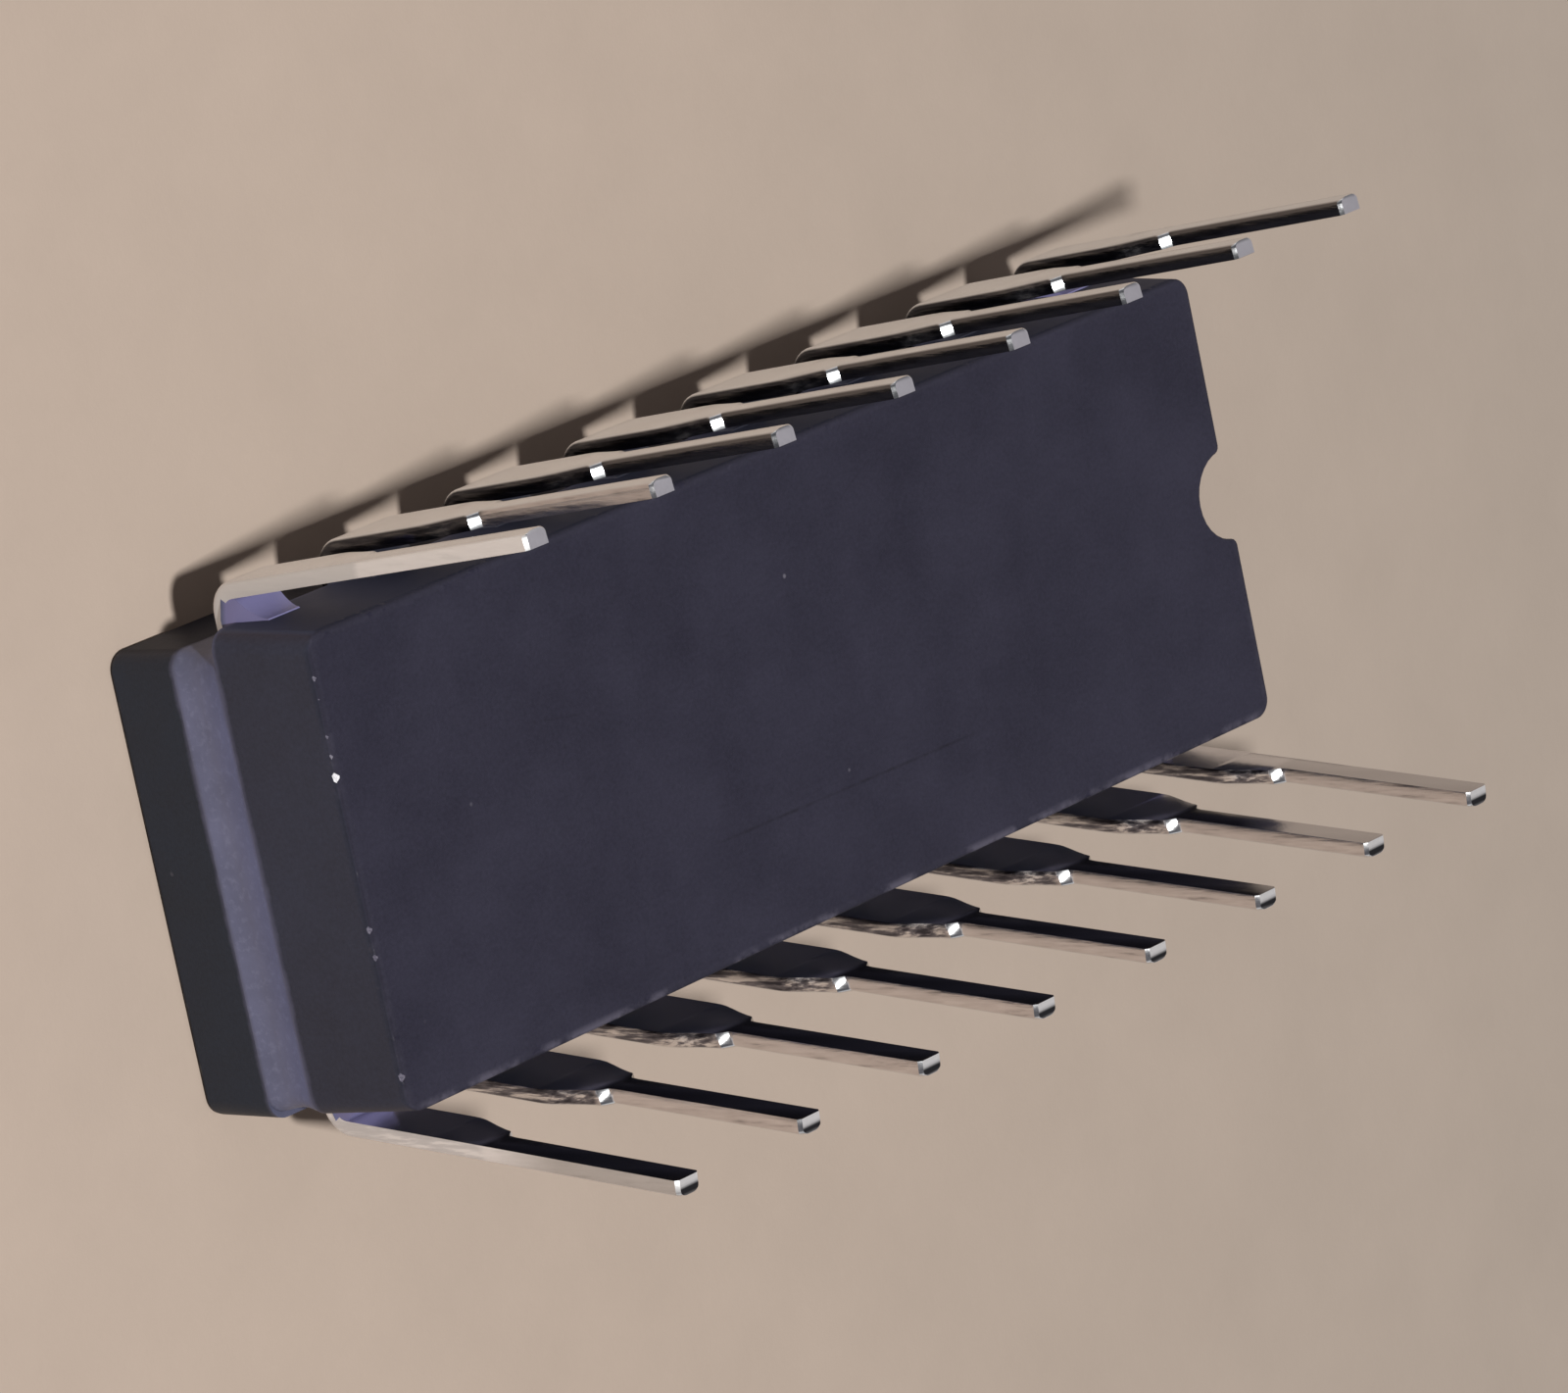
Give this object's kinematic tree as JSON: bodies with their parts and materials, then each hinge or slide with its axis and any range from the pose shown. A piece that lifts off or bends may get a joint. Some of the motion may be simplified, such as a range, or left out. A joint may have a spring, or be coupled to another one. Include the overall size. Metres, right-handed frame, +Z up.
{
  "type": "ceramic dual in-line memory chip",
  "caption": "Ceramic dual in-line read-only memory chip with glass-sealed pressed halves, an end notch and two splayed rows of shouldered pins, lying on its lid.",
  "frame": {"origin": "centre of the whole part in plan, at the floor that the lid's outer face rests on", "axes": "+X along the body towards the index notch, +Y across towards the row of pins 9 to 16, +Z up through the base towards the pin tips"},
  "size_m": [0.0194, 0.0094, 0.0085],
  "materials": {
    "ceramic": "matte, dark slate with a slight violet cast",
    "sealing_glass": "dull violet-grey fired glass, slightly glossy",
    "lead_metal": "tinned nickel-iron strip, bright with sheared edges",
    "silicon": "polished silicon",
    "die_attach": "gold-coloured attach layer, dull",
    "bond_aluminium": "bright drawn wire"
  },
  "bodies": {
    "root": {"ceramic_base": "ceramic", "ceramic_lid": "ceramic", "glass_seal": "sealing_glass", "pin_01": "lead_metal", "pin_02": "lead_metal", "pin_03": "lead_metal", "pin_04": "lead_metal", "pin_05": "lead_metal", "pin_06": "lead_metal", "pin_07": "lead_metal", "pin_08": "lead_metal", "pin_09": "lead_metal", "pin_10": "lead_metal", "pin_11": "lead_metal", "pin_12": "lead_metal", "pin_13": "lead_metal", "pin_14": "lead_metal", "pin_15": "lead_metal", "pin_16": "lead_metal", "die": "silicon", "die_attach": "die_attach", "bond_wire_01": "bond_aluminium", "bond_wire_02": "bond_aluminium", "bond_wire_03": "bond_aluminium", "bond_wire_04": "bond_aluminium", "bond_wire_05": "bond_aluminium", "bond_wire_06": "bond_aluminium", "bond_wire_07": "bond_aluminium", "bond_wire_08": "bond_aluminium", "bond_wire_09": "bond_aluminium", "bond_wire_10": "bond_aluminium", "bond_wire_11": "bond_aluminium", "bond_wire_12": "bond_aluminium", "bond_wire_13": "bond_aluminium", "bond_wire_14": "bond_aluminium", "bond_wire_15": "bond_aluminium", "bond_wire_16": "bond_aluminium"}
  },
  "joints": []
}
